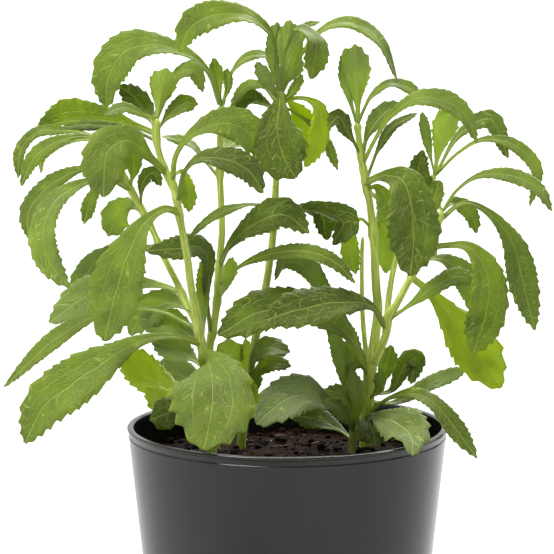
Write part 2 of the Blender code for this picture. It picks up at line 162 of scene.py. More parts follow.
# The colours. A pair holds the dark one and the light one of a pattern
# the deep green is the dark end of the leaves' tone, painted shade included; the bright green is its bright
# end, painted backlight included
SHADED_DEEP_GREEN = (0.060, 0.102, 0.002)
MIDDLE_GREEN = (0.180, 0.272, 0.006)
BACKLIT_BRIGHT_GREEN = (0.370, 0.470, 0.006)
# painted silvery sheen, mixed into the leaves by their sheen share
SHEEN_SILVER_GREEN = (0.360, 0.440, 0.230)
VEIN_GREEN = (0.470, 0.560, 0.110)
UNDERSIDE_GREEN = (0.310, 0.400, 0.120)
LEAF_GLOW = ((0.240, 0.360, 0.002), (0.720, 0.900, 0.008))
STEM_STREAKS = ((0.360, 0.490, 0.026), (0.780, 0.870, 0.160))
STEM_PATCH = (0.380, 0.450, 0.040)
STEM_SPECK = (0.62, 0.68, 0.40)
STEM_GLOW = (0.5, 0.62, 0.1)
HAIR_COLOURS = ((0.62, 0.70, 0.48), (0.90, 0.92, 0.80))
HAIR_GLOW = (0.9, 0.95, 0.7)
SOIL_COLOURS = ((0.0028, 0.0012, 0.0004), (0.021, 0.0088, 0.0028))
SOIL_GRAIN = (0.055, 0.029, 0.013)
BIT_COLOURS = ((0.07, 0.043, 0.024), (0.24, 0.17, 0.11))
OUTSIDE_COLOURS = ((0.0085, 0.0086, 0.0066), (0.0120, 0.0119, 0.0095))
INSIDE_COLOURS = ((0.0050, 0.0052, 0.0045), (0.0120, 0.0118, 0.0095))
FLOOR_COLOURS = ((0.47, 0.47, 0.47), (0.50, 0.50, 0.50))

# The studio: light from all round, weaker from the camera's side, and broad suns, each with the place it
# shines from, its spread in degrees and its strength
FRONT_LIGHT = 0.35
BACK_LIGHT = 1.0
FLOOR_REACH = 30.0
SUNS = {
    "top": ((-0.45, -0.30, 1.0), 22, 4.1),
    "back": ((0.30, 1.0, 0.95), 35, 4.0),
}

# Each stem: what it grows from, its radius in mm at its foot and its tip, and its route (across, down, near)
Stem = namedtuple("Stem", "parent radii route")
STEMS = {
    "stem_left_front": Stem("soil", (1.9, 1.2), [
        (217, 486, 4), (213, 460, 4), (208, 400, 5), (205, 367, 6), (197, 320, 7), (190, 280, 8),
        (188, 262, 9), (180, 219, 10), (174, 188, 10), (164, 168, 10), (157, 143, 10), (156, 118, 10)]),
    "stem_left_back": Stem("stem_left_front", (1.4, 1.0), [
        (197, 322), (186, 303, 0), (178, 285, -4), (162, 253, -8), (154, 233, -10), (141, 208, -12),
        (130, 188, -14), (121, 170, -16), (118, 152, -17)]),
    "stem_left_upright": Stem("soil", (1.7, 1.2), [
        (217, 477, -14), (216, 451, -14), (211, 400, -13), (210, 345, -12), (213, 330, -12), (217, 302, -12),
        (220, 258, -12), (222, 232, -12), (221, 200, -11), (220, 177, -11), (220, 140, -11), (222, 104, -11),
    ]),
    "stem_centre": Stem("soil", (1.9, 1.2), [
        (240, 473, -24), (241, 447, -24), (246, 400, -22), (257, 330, -18), (266, 286, -14), (270, 259, -12),
        (273, 236, -10), (276, 182, -6), (277, 163, -5), (278, 120, -3), (280, 92, -3)]),
    "stem_right": Stem("soil", (2.5, 1.2), [
        (364, 474, -20), (365, 449, -20), (367, 408, -17), (370, 372, -13), (376, 330, -10), (378, 310, -10),
        (376, 285, -9), (374, 245, -8), (370, 205, -7), (364, 173, -6), (361, 155, -6), (357, 122, -6)]),
    "stem_right_back": Stem("stem_right", (1.1, 0.8), [
        (369, 388), (366, 355, -21), (363, 321, -23), (362, 295, -24), (362, 250, -25), (363, 236, -25)]),
    "stem_right_outer": Stem("stem_right", (1.7, 1.1), [
        (372, 362), (386, 334, -4), (388, 318, -2), (396, 305, 0), (410, 279, 2), (425, 250, 3),
        (437, 225, 3), (442, 210, 3)]),
    "stem_right_middle": Stem("stem_right_outer", (1.2, 0.9), [
        (388, 319), (389, 296, -7), (395, 263, -10), (404, 238, -12), (418, 207, -13), (435, 174, -14)]),
    "stem_low_shoot": Stem("soil", (1.4, 1.0), [
        (351, 479, -9), (352, 454, -9), (353, 438, -8), (354, 422, -8), (352, 406, -9)]),
}

# Each leaf: its stem, its width in mm, its turns in degrees at its foot and its tip (0 shows its upper face
# to the front, 90 its edge, 180 its underside), the rise of its edges in degrees, its route, and its look: a
# tone from 0, deep green, to 1, bright yellow-green, which holds the leaf's own green and painted light and
# shade, low for leaves in shade and high for backlit ones, and how much painted silvery sheen it has. Those
# named leaf have a solid, and the buds and small leaves have none
PLAIN_LOOK = (0.5, 0.14)
Leaf = namedtuple("Leaf", "stem width turns fold route look", defaults=[PLAIN_LOOK])
LEAVES = {}


def grow(stem, **leaves):
    LEAVES.update({name: Leaf(stem, *values) for name, values in leaves.items()})


grow(
    "stem_left_front",
    leaf_front_erect=(11, (165, 165), 14, [(156, 122), (160, 98, 6), (167, 68, 5)], (0.95, 0.1)),
    leaf_left_level=(12, (-50, -40), 34, [
        (157, 134), (128, 124, 3), (100, 117, 2), (70, 117, 1), (38, 125, 0)], (0.6, 0)),
    leaf_left_droop=(17, (-20, 0), 14, [
        (166, 172), (150, 158, 17), (128, 140, 22), (108, 150, 26), (103, 197, 28)]),
    leaf_front_big=(20, (-30, -10), 14, [
        (178, 212), (163, 210, 18), (142, 226, 26), (124, 262, 32), (113, 300, 34), (104, 341, 34)]),
    leaf_over_arch=(14, (70, 0), 14, [
        (171, 180), (176, 156, 14), (191, 135, 14), (214, 123, 12), (240, 126, 10), (262, 144, 10),
        (275, 163, 8)]),
    leaf_dark_arch=(11, (90, 10), 14, [
        (176, 200), (184, 173, 21), (201, 157, 25), (226, 159, 26), (248, 169, 26), (263, 193, 26),
    ], (0.15, 0.05)),
    leaf_low_left_front=(31, (-10, 0), 10, [
        (206, 373), (208, 362, 26), (212, 382, 45), (211, 413, 55), (203, 450, 60)]),
    leaf_low_left_wing=(13, (-30, -20), 10, [
        (209, 408), (192, 405, 12), (172, 411, 13), (150, 420, 10)], (0.1, 0)),
    leaf_low_left_bright=(15, (-20, -20), 10, [
        (208, 396), (188, 396, -6), (165, 388, -12), (142, 370, -16), (121, 348, -18)], (0.95, 0)),
    leaf_low_left_large=(20, (-50, -15), 12, [
        (200, 342), (170, 337, 14), (140, 341, 20), (112, 356, 24), (76, 380, 27), (43, 406, 28),
        (25, 443, 28)]),
    leaf_low_left_narrow=(9, (-60, -40), 12, [
        (198, 330), (165, 313, -2), (135, 309, -8), (93, 316, -10), (48, 344, -12), (4, 387, -12)]),
    leaf_low_left_grey=(10, (-30, -10), 10, [(204, 368), (182, 352, -10), (152, 342, -16)], (0.5, 0.6)),
    small_front_arm=(8, (60, 40), 12, [
        (157, 124), (166, 98, 1), (178, 74, -1), (193, 69, -1), (203, 92, -1)]),
    small_front_short=(6, (-40, -40), 10, [
        (156, 124), (140, 113, 15), (124, 107, 18), (105, 115, 20)], (0.5, 0.4)),
    small_front_dark=(10, (-20, -20), 10, [
        (156, 128), (146, 112, -3), (134, 97, -5), (119, 86, -5)], (0.2, 0.05)),
    small_front_right=(8, (30, 30), 10, [(158, 130), (172, 112, 3), (185, 103, 0), (198, 104, -2)]),
    small_narrow_hanging=(6.5, (30, 10), 10, [
        (171, 178), (182, 172, 3), (188, 190, 2), (189, 212, 2)], (0.8, 0.1)),
    small_left_light=(14, (-40, -20), 10, [
        (195, 312), (165, 303, -14), (142, 316, -17), (130, 335, -18)], (0.6, 0.4)),
    small_left_wide=(13, (-30, -10), 12, [
        (203, 352), (190, 335, -8), (167, 323, -13), (138, 318, -16)], (0.6, 0.5)),
    small_between=(5.5, (0, 0), 14, [(203, 352), (203, 305, -3), (203, 258, -5)], (0.8, 0.5)),
    small_pot_left=(11, (-20, -20), 12, [
        (211, 416), (188, 408, -2), (165, 402, -6), (145, 388, -8)], (0.9, 0)),
    small_left_under=(7.5, (-60, -50), 14, [
        (158, 140), (128, 129, -4), (95, 124, -6), (62, 127, -7)], (0.1, 0)),
    back_left_low=(13, (-30, -20), 12, [(206, 378), (190, 378, -24), (165, 372, -42), (148, 385, -50)]),
)
grow(
    "stem_left_back",
    leaf_far_left_back=(7, (-60, -40), 10, [
        (118, 153), (90, 135, -23), (60, 130, -27), (36, 132, -29), (20, 150, -30), (18, 178, -30),
    ], (0.35, 0.05)),
    leaf_far_left_front=(7, (-60, -30), 12, [
        (119, 158), (90, 137, -12), (55, 142, -10), (32, 160, -9), (21, 186, -8)]),
    leaf_left_long=(11, (-50, 0), 12, [
        (131, 189), (108, 180, -6), (80, 184, 0), (53, 203, 5), (42, 232, 8), (48, 260, 9), (69, 288, 10),
    ], (0.6, 0.4)),
    leaf_left_behind=(9, (-50, -20), 12, [
        (123, 172), (98, 168, -24), (72, 172, -28), (46, 188, -30), (28, 212, -31), (28, 238, -31),
    ], (0.4, 0.25)),
    leaf_low_left_pale=(14, (-40, -10), 10, [
        (180, 291), (162, 286, -14), (135, 283, -20), (96, 290, -24), (49, 322, -26)], (0.6, 0.7)),
    small_left_upright=(7.5, (-10, -10), 10, [(130, 187), (134, 166, -9), (130, 145, -8)]),
    small_left_folded=(6, (-10, 30), 20, [
        (141, 206), (143, 182, -7), (152, 173, -5), (161, 186, -4)], (0.2, 0.05)),
    small_left_pale=(12, (-30, -10), 10, [
        (143, 213), (131, 206, -22), (118, 214, -27), (108, 236, -29)], (0.6, 0.35)),
    small_far_left=(5, (-60, -40), 10, [
        (119, 156), (90, 140, -19), (58, 144, -20), (42, 157, -20), (41, 173, -20)]),
    small_left_tip=(6, (-40, -20), 10, [(127, 183), (106, 181, -12), (92, 197, -10), (84, 224, -9)]),
    small_left_shade=(11, (-40, -20), 10, [
        (158, 246), (128, 250, -32), (94, 264, -40), (68, 306, -44)], (0.4, 0.4)),
    back_left=(13, (-40, -20), 12, [(150, 226), (132, 240, -34), (118, 268, -46), (113, 305, -50)]),
)
grow(
    "stem_left_upright",
    leaf_upright_arch=(15.5, (-60, -25), 14, [
        (221, 105), (208, 72, -9), (187, 53, -6), (158, 44, -4), (128, 48, -3), (108, 75, -3),
        (106, 109, -3)]),
    leaf_upright_right=(7, (60, 66), 10, [
        (222, 106), (231, 74, -17), (245, 58, -19), (262, 54, -19), (282, 64, -19)]),
    leaf_star=(13, (40, 20), 16, [
        (220, 264), (232, 243, 0), (256, 222, 8), (285, 214, 12), (309, 233, 14)], (0.15, 0.05)),
    leaf_centre_long=(7, (40, 20), 10, [
        (218, 284), (244, 264, 4), (275, 253, 14), (306, 251, 16), (335, 262, 17), (355, 283, 17),
    ], (0.4, 0.05)),
    leaf_left_inner=(11, (-60, -30), 12, [
        (213, 332), (206, 292, -5), (208, 256, -2), (198, 246, -1), (175, 248, 0), (146, 251, 1),
    ], (0.15, 0.05)),
    leaf_low_round=(12, (160, 170), 10, [
        (212, 380), (224, 368, -24), (229, 354, -26), (228, 338, -26)], (0.7, 0.5)),
    bud_upright=(5.5, (-20, -20), 14, [(222, 106), (218, 80, -14), (213, 58, -14)], (0.7, 0.1)),
    bud_upright_side=(4, (10, 10), 14, [(223, 106), (228, 88, -8), (227, 68, -7)]),
    small_upright_back=(7, (-60, -60), 10, [(220, 177), (207, 163, -18), (190, 143, -22), (162, 136, -25)]),
    small_upright_fuzzy=(6.5, (150, 150), 12, [(217, 302), (226, 284, -18), (233, 257, -20)], (0.7, 0.6)),
    back_arch=(12, (40, 20), 12, [(220, 170), (230, 146, -30), (245, 138, -44), (262, 152, -50)]),
)
grow(
    "stem_centre",
    leaf_crown_arch=(12.5, (-100, -5), 14, [
        (279, 96), (277, 58, -7), (268, 30, -3), (246, 14, 3), (215, 14, 7), (190, 27, 9), (180, 52, 10),
    ], (0.55, 0.1)),
    leaf_crown_front=(13, (150, 20), 12, [
        (281, 92), (286, 50, 6), (298, 28, 9), (317, 42, 13), (311, 79, 15)], (0.4, 0.05)),
    leaf_crown_back=(10, (170, 170), 10, [(281, 93), (287, 60, -10), (290, 20, -12)], (0.6, 0.4)),
    leaf_crown_right=(9, (60, 60), 10, [
        (281, 94), (306, 48, -9), (326, 27, -12), (351, 22, -13), (380, 40, -14), (397, 80, -14),
    ], (0.5, 0.2)),
    leaf_crown_hanging=(20, (0, 0), 14, [
        (279, 100), (279, 106, 9), (277, 130, 15), (284, 158, 17), (296, 178, 17)], (0.25, 0)),
    leaf_crown_bright=(9.5, (60, 10), 12, [
        (279, 102), (300, 98, 2), (318, 106, 4), (320, 130, 5), (305, 167, 5)], (1, 0)),
    leaf_centre_folded=(10, (60, 20), 30, [
        (275, 213), (296, 210, -3), (322, 210, 0), (345, 221, 4), (333, 245, 6)], (0.08, 0)),
    leaf_low_centre_dark=(11, (50, 40), 12, [
        (250, 378), (255, 356, -15), (268, 347, -12), (290, 352, -10)], (0.3, 0.1)),
    bud_crown_tall=(5, (10, 10), 14, [(281, 93), (284, 58, -3), (282, 27, -3)], (0.8, 0.6)),
    bud_crown_side=(5, (20, 20), 14, [(282, 95), (292, 66, 2), (302, 42, 3)], (0.8, 0.6)),
    small_crown_back=(5, (40, 40), 10, [(281, 92), (296, 46, -16), (306, 26, -18), (320, 22, -18)]),
    small_crown_pointed=(6, (-160, -170), 10, [(279, 103), (268, 82, 6), (256, 62, 8)]),
    small_crown_curl=(6.5, (-60, -40), 10, [(278, 104), (262, 86, -9), (246, 86, -11), (233, 104, -11)]),
    small_crown_right=(5, (40, 30), 10, [(281, 106), (293, 90, 3), (303, 75, 4)]),
    small_centre_narrow=(6, (-60, -50), 10, [(275, 206), (245, 205, 4), (215, 215, 6), (190, 236, 7)]),
    small_centre_stub=(6, (-20, -20), 12, [(246, 402), (253, 388, -14), (257, 366, -12)]),
    small_centre_bright=(5.5, (20, 20), 12, [(244, 424), (253, 410, -12), (251, 378, -9)], (1, 0)),
    small_right_tip=(4.5, (40, 20), 10, [(279, 104), (300, 116, -5), (322, 134, -7), (338, 170, -7)]),
    small_crown_glow=(10, (0, 0), 12, [(280, 100), (290, 102, -5), (301, 116, -7), (306, 143, -8)], (1, 0)),
    small_crown_wide=(8.5, (-40, -30), 14, [
        (279, 116), (266, 104, -9), (249, 97, -12), (230, 108, -13)], (0.3, 0.1)),
    small_crown_fill=(8, (170, 170), 12, [(281, 100), (288, 76, -8), (300, 56, -12)]),
    small_crown_left_back=(7, (160, 160), 12, [(279, 98), (273, 64, -10), (277, 22, -14)]),
    small_centre_fold=(9, (50, 10), 24, [
        (275, 217), (300, 209, -6), (320, 212, -5), (327, 240, -3)], (0.1, 0)),
    small_centre_lower=(8, (40, 30), 12, [(248, 392), (258, 372, -18), (272, 363, -18), (291, 366, -17)]),
    small_centre_pale=(5.5, (10, 10), 14, [(245, 405), (246, 375, -27), (246, 338, -28)], (0.8, 0.5)),
    back_centre=(13, (30, 20), 12, [(262, 304), (262, 308, -34), (280, 310, -48), (305, 320, -54)]),
    back_crown=(11, (10, 0), 12, [(278, 140), (276, 124, -24), (280, 136, -36), (288, 165, -40)]),
)
grow(
    "stem_right",
    leaf_underside=(11, (-150, -120), 12, [
        (372, 364), (348, 327, -13), (326, 293, -11), (303, 264, -6), (284, 262, -4), (275, 280, -3),
    ], (0.2, 0.2)),
    leaf_middle_long=(18, (-50, -15), 12, [
        (371, 371), (341, 328, 4), (300, 306, 8), (260, 311, 11), (218, 335, 12)], (0.35, 0.05)),
    leaf_right_erect=(11, (170, 170), 12, [(357, 124), (357, 85, -5), (355, 44, -5)], (0.7, 0)),
    leaf_right_arch=(9.5, (50, 40), 12, [
        (362, 162), (376, 138, 2), (392, 114, 4), (416, 98, 6), (445, 100, 8), (466, 116, 8), (477, 143, 8),
    ]),
    leaf_right_hanging=(20, (40, 0), 14, [
        (367, 182), (386, 176, 10), (403, 180, 19), (411, 201, 23), (414, 236, 25), (410, 276, 25),
    ], (0.2, 0)),
    leaf_pot_right_long=(9, (50, 30), 12, [
        (367, 410), (390, 398, -4), (415, 393, 4), (437, 405, 10), (457, 430, 14), (477, 458, 16),
    ], (0.3, 0.05)),
    leaf_pot_right_pale=(17, (40, 10), 12, [
        (366, 417), (380, 417, 8), (400, 424, 28), (412, 438, 44), (412, 455, 51)], (0.3, 0.35)),
    leaf_pot_right_curly=(9, (40, 20), 14, [
        (370, 394), (392, 390, -26), (404, 366, -28), (415, 358, -28), (411, 384, -26)], (0.2, 0.05)),
    small_right_curl=(7, (-50, -10), 10, [
        (360, 153), (348, 132, 2), (338, 117, 6), (328, 127, 8)], (0.2, 0.05)),
    small_right_dark=(6.5, (60, 50), 10, [
        (366, 178), (378, 150, -12), (392, 127, -14), (417, 113, -14)], (0.2, 0.05)),
    small_right_back_arch=(7, (60, 50), 10, [
        (358, 126), (371, 97, -14), (389, 83, -17), (407, 86, -18), (425, 100, -18)]),
    small_right_veined=(11.5, (170, 175), 12, [
        (370, 192), (381, 203, -14), (389, 236, -17), (386, 273, -18)], (0.9, 0.15)),
    small_centre_hanging=(7.5, (-30, -10), 10, [
        (372, 226), (360, 219, -4), (351, 232, -4), (350, 252, -3), (356, 274, -3)], (0.8, 0.2)),
    small_pot_back=(8, (40, 30), 10, [
        (369, 403), (396, 402, -28), (430, 383, -34), (468, 368, -38)], (0.6, 0.95)),
    small_pot_front=(13, (30, 10), 12, [
        (366, 420), (369, 420, -4), (373, 432, 4), (376, 447, 6)], (0.12, 0.1)),
    small_pot_curl=(5.5, (30, 30), 14, [(370, 398), (379, 386, -6), (381, 368, -7)]),
    small_pot_arch=(4.5, (-40, -20), 12, [(369, 376), (360, 365, -8), (352, 367, -8), (347, 379, -8)]),
    small_right_cluster=(9, (40, 30), 16, [
        (361, 156), (369, 132, -3), (385, 112, -6), (403, 104, -8)], (0.3, 0.1)),
    small_right_fold=(10, (0, 0), 14, [(369, 188), (378, 188, 1), (388, 205, 3), (394, 230, 4)]),
    small_curl_upright=(7.5, (0, 0), 14, [(369, 395), (382, 380, -17), (391, 345, -20)]),
    small_right_erect_side=(8, (150, 150), 14, [(357, 126), (349, 92, -9), (346, 48, -11)]),
    back_right=(13, (20, 10), 12, [(372, 228), (388, 205, -32), (404, 214, -46), (410, 250, -50)]),
)
grow(
    "stem_right_outer",
    leaf_middle_front=(17, (-50, -20), 12, [
        (387, 326), (370, 306, 8), (342, 301, 18), (305, 307, 24), (265, 320, 28)], (0.1, 0)),
    leaf_outer_level=(7, (50, 30), 10, [
        (440, 214), (457, 190, 6), (481, 175, 8), (510, 175, 8), (538, 188, 8), (552, 211, 8),
    ], (0.45, 0.25)),
    leaf_outer_big=(12.5, (50, 20), 12, [
        (439, 219), (465, 203, -2), (491, 215, -4), (513, 243, -4), (524, 285, -4), (535, 330, -4),
    ], (0.35, 0.1)),
    leaf_outer_front=(16.5, (50, 10), 12, [
        (426, 248), (445, 246, 11), (468, 247, 15), (485, 267, 17), (489, 302, 18), (473, 354, 18),
    ], (0.45, 0)),
    leaf_outer_pale=(19, (30, 10), 10, [
        (411, 278), (431, 294, -8), (452, 318, -8), (475, 348, -6), (501, 388, -4)], (0.95, 0)),
    small_outer_back=(7, (40, 20), 10, [(440, 214), (456, 203, -12), (470, 212, -14), (477, 233, -14)]),
    small_outer_inner=(9, (50, 30), 10, [
        (391, 319), (410, 305, 5), (432, 288, 6), (456, 276, 5), (478, 283, 4)]),
    small_right_pointed=(8, (-10, -10), 16, [
        (441, 213), (430, 190, -6), (419, 172, -8), (423, 150, -8)], (0.15, 0.05)),
    small_outer_foot=(7.5, (20, 20), 14, [(435, 230), (433, 205, 1), (439, 180, 0)]),
    back_right_outer=(12, (30, 10), 12, [(420, 258), (448, 262, -22), (475, 290, -36), (486, 330, -40)]),
)
grow(
    "stem_right_middle",
    leaf_outer_bright=(10, (160, 160), 12, [(434, 177), (441, 140, -11), (452, 104, -11)], (0.9, 0.1)),
    leaf_outer_narrow=(7, (50, 40), 10, [
        (432, 180), (459, 152, -17), (485, 139, -19), (513, 144, -20), (537, 170, -20), (530, 206, -20)]),
    small_outer_narrow=(5, (160, 150), 12, [(433, 178), (428, 145, -18), (422, 112, -18)]),
    small_outer_tip=(8, (50, 20), 10, [
        (434, 177), (462, 132, -25), (490, 119, -26), (508, 158, -26)], (0.3, 0.1)),
)
grow(
    "stem_low_shoot",
    leaf_middle_upright=(8, (160, 140), 10, [
        (352, 408), (343, 378, -7), (339, 350, -9), (327, 328, -9)], (0.5, 0.4)),
    leaf_pot_silver=(18, (-50, -20), 14, [
        (354, 424), (332, 405, 2), (305, 393, 8), (279, 402, 10), (256, 424, 10)], (0.3, 0.85)),
    leaf_pot_shaded=(10, (-40, -20), 10, [
        (353, 440), (336, 427, -20), (312, 417, -28), (292, 416, -32)], (0.1, 0.1)),
    small_pot_shoot=(8, (-30, -20), 12, [
        (353, 432), (347, 418, 1), (337, 406, 5), (325, 400, 7)], (0.5, 0.5)),
    small_middle_upright=(7, (150, 150), 12, [
        (353, 412), (346, 384, -14), (353, 350, -16), (349, 322, -16)]),
    small_pot_pale=(7, (0, 0), 12, [(354, 432), (357, 402, 0), (352, 370, -1)], (0.6, 0.5)),
    small_pot_dark=(7, (-20, -20), 12, [(352, 412), (342, 394, 3), (324, 390, 5)]),
)


# Lines and frames

def ray_to(across, down):
    right = Vector((1, 0, 0)) * ((across - VIEW_RIM_CENTRE[0]) / VIEW_FOCAL)
    return FORWARD + right - UPWARD * ((down - VIEW_MIDDLE) / VIEW_FOCAL)


def seen(across, down, near):
    """The point that shows at this spot, on the upright plane near mm in front of the pot's axis."""
    ray = ray_to(across, down)
    return EYE + ray * ((-near * MM - EYE.y) / ray.y)


def blend_four(points, knots, t):
    level = list(points)
    for step in (1, 2, 3):
        nearer = []
        for i in range(4 - step):
            low, high = (knots[1], knots[2]) if step == 3 else (knots[i], knots[i + step])
            nearer.append(level[i].lerp(level[i + 1], (t - low) / (high - low)))
        level = nearer
    return level[0]


def smooth_curve(points, count):
    """count points, evenly spaced along a centripetal Catmull-Rom curve through the given ones."""
    ends = [points[0] * 2 - points[1], *points, points[-1] * 2 - points[-2]]
    fine = []
    for a, b, c, d in zip(ends, ends[1:], ends[2:], ends[3:]):
        knots = np.cumsum([0] + [math.sqrt((q - p).length) for p, q in ((a, b), (b, c), (c, d))])
        for t in np.linspace(knots[1], knots[2], CURVE_STEPS, endpoint=False):
            fine.append(blend_four((a, b, c, d), knots, t))
    fine = np.array([*fine, points[-1]])
    run = np.concatenate([[0], np.cumsum(np.linalg.norm(np.diff(fine, axis=0), axis=1))])
    wanted = np.linspace(0, run[-1], count)
    return np.stack([np.interp(wanted, run, fine[:, axis]) for axis in range(3)], axis=1)


def stem_line(name, count=None):
    """The stem's centre line and its radius at each point of it."""
    stem = STEMS[name]
    if stem.parent == "soil":
        points = [seen(*spot) for spot in stem.route]
    else:
        start = foot_on(stem.parent, stem.route, 0)
        points = [start, *(seen(*spot) for spot in stem.route[1:])]
    count = count or 2 * len(points)
    return smooth_curve(points, count), np.linspace(stem.radii[0] * MM, stem.radii[1] * MM, count)


def foot_on(parent, route, sink):
    """Where a leaf or a branch starts: sink inside its parent's surface, beside the route's first spot."""
    line, radii = stem_line(parent)
    line = [Vector(point) for point in line]
    ray = ray_to(*route[0]).normalized()
    index = min(range(len(line)), key=lambda i: (line[i] - EYE).cross(ray).length)
    along = (line[min(index + 1, len(line) - 1)] - line[max(index - 1, 0)]).normalized()
    centre = line[index]
    if 0 < index < len(line) - 1:
        spot = EYE + ray * (centre - EYE).length
        centre = centre + along * (spot - centre).dot(along)
    outward = seen(*route[1]) - centre
    outward = (outward - along * outward.dot(along)).normalized()
    return centre + outward * (radii[index] - sink)


def length_of(line):
    return float(np.linalg.norm(np.diff(line, axis=0), axis=1).sum())


def unit(vectors):
    return vectors / np.maximum(np.linalg.norm(vectors, axis=-1, keepdims=True), 1e-12)


def tangents_of(line):
    return unit(np.gradient(line, axis=0))


def smoothed(values, passes):
    for _ in range(passes):
        padded = np.concatenate([values[:1], values, values[-1:]])
        values = (padded[:-2] + 2 * padded[1:-1] + padded[2:]) / 4
    return values


# Meshes and pieces

def grid_faces(rows, columns, start=0, closed=False, flip=False):
    faces = []
    for i in range(rows - 1):
        for j in range(columns if closed else columns - 1):
            k = (j + 1) % columns
            a, b = start + i * columns + j, start + i * columns + k
            face = (a, b, b + columns, a + columns)
            faces.append(face[::-1] if flip else face)
    return faces


def grid_border(rows, columns):
    """The grid's outermost points, in order round it."""
    grid = np.arange(rows * columns).reshape(rows, columns)
    return np.concatenate([grid[:, 0], grid[-1, 1:], grid[-2::-1, -1], grid[0, -2:0:-1]]).tolist()


def link(name, data):
    made = bpy.data.objects.new(name, data)
    bpy.context.scene.collection.objects.link(made)
    return made


def add_piece(name, mesh, materials, node=None):
    for look in materials:
        mesh.materials.append(look)
    mesh.shade_smooth()
    piece = link(name, mesh)
    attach(piece, "root")
    if node:
        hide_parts(node)
    return piece


def mesh_of(name, points, faces):
    mesh = bpy.data.meshes.new(name)
    mesh.from_pydata([tuple(p) for p in points], [], faces)
    mesh.validate()
    return mesh


def write_vectors(mesh, name, *parts):
    """Stores a vector at each of the mesh's points, each of its parts an array or one number for all."""
    values = np.empty((len(mesh.vertices), 3), np.float32)
    for axis, part in enumerate(parts):
        values[:, axis] = part
    mesh.attributes.new(name, "FLOAT_VECTOR", "POINT").data.foreach_set("vector", values.ravel())


class Nodes:
    """A short way to write the nodes of a new material or world."""

    def __init__(self, name, owners="materials", output="ShaderNodeOutputMaterial"):
        self.owner = getattr(bpy.data, owners).new(name)
        self.owner.use_nodes = True
        self.tree = self.owner.node_tree
        self.tree.nodes.clear()
        self.output = self.tree.nodes.new(output)

    def add(self, kind, **settings):
        node = self.tree.nodes.new(kind)
        for key, value in settings.items():
            setattr(node, key, value)
        return node

    def put(self, socket, value):
        """Links the socket to another one, or sets it to a number or a colour."""
        if isinstance(value, bpy.types.NodeSocket):
            self.tree.links.new(value, socket)
        elif value is not None:
            socket.default_value = (*value, 1) if socket.type == "RGBA" else value

    def fill(self, node, *values, **named):
        """The node's first output, after its first inputs and those with these names get their values."""
        for socket, value in zip(node.inputs, values):
            self.put(socket, value)
        for name, value in named.items():
            self.put(node.inputs[name.replace("_", " ")], value)
        return node.outputs[0]

    def math(self, operation, *values):
        return self.fill(self.add("ShaderNodeMath", operation=operation), *values)

    def times(self, one, two):
        return self.math("MULTIPLY", one, two)

    def times_plus(self, value, factor, base):
        return self.math("MULTIPLY_ADD", value, factor, base)

    def off_centre(self, value):
        """A noise or another value around one half, moved to lie around zero."""
        return self.math("SUBTRACT", value, 0.5)

    def ramp(self, value, low, high):
        """0 at low, 1 at high and smooth between them."""
        return self.fill(self.add("ShaderNodeMapRange", interpolation_type="SMOOTHSTEP"), value, low, high)

    def fade(self, value, low, high):
        """1 at low, 0 at high and smooth between them."""
        return self.math("SUBTRACT", 1.0, self.ramp(value, low, high))

    def mix(self, factor, one, two):
        node = self.add("ShaderNodeMix", data_type="RGBA")
        for index, value in ((0, factor), (6, one), (7, two)):
            self.put(node.inputs[index], value)
        return node.outputs[2]

    def attribute(self, name):
        return self.add("ShaderNodeAttribute", attribute_name=name).outputs["Vector"]

    def parts(self, vector):
        node = self.add("ShaderNodeSeparateXYZ")
        self.put(node.inputs[0], vector)
        return node.outputs

    def joined(self, *values):
        return self.fill(self.add("ShaderNodeCombineXYZ"), *values)

    def scaled(self, vector, scale):
        return self.fill(self.add("ShaderNodeVectorMath", operation="MULTIPLY"), vector, scale)

    def noise(self, vector, scale, detail):
        return self.fill(self.add("ShaderNodeTexNoise"), Vector=vector, Scale=scale, Detail=detail)

    def cells(self, vector, scale):
        """The distance to the nearest cell border, for a net of lines."""
        node = self.add("ShaderNodeTexVoronoi", feature="DISTANCE_TO_EDGE")
        return self.fill(node, Vector=vector, Scale=scale)

    def place(self):
        return self.add("ShaderNodeTexCoord").outputs["Object"]

    def bump(self, height, distance, strength=1.0):
        return self.fill(self.add("ShaderNodeBump"), Height=height, Distance=distance, Strength=strength)

    def shader(self, colour, roughness, normal=None, **rest):
        node = self.add("ShaderNodeBsdfPrincipled")
        return self.fill(node, Base_Color=colour, Roughness=roughness, Normal=normal, **rest)

    def finish(self, shader, light_through=None, share=0.0):
        """Ends the nodes, with a share of the surface letting light through in the given colour."""
        if light_through is not None:
            through = self.fill(self.add("ShaderNodeBsdfTranslucent"), light_through)
            shader = self.fill(self.add("ShaderNodeMixShader"), share, shader, through)
        self.put(self.output.inputs["Surface"], shader)
        return self.owner


# Materials

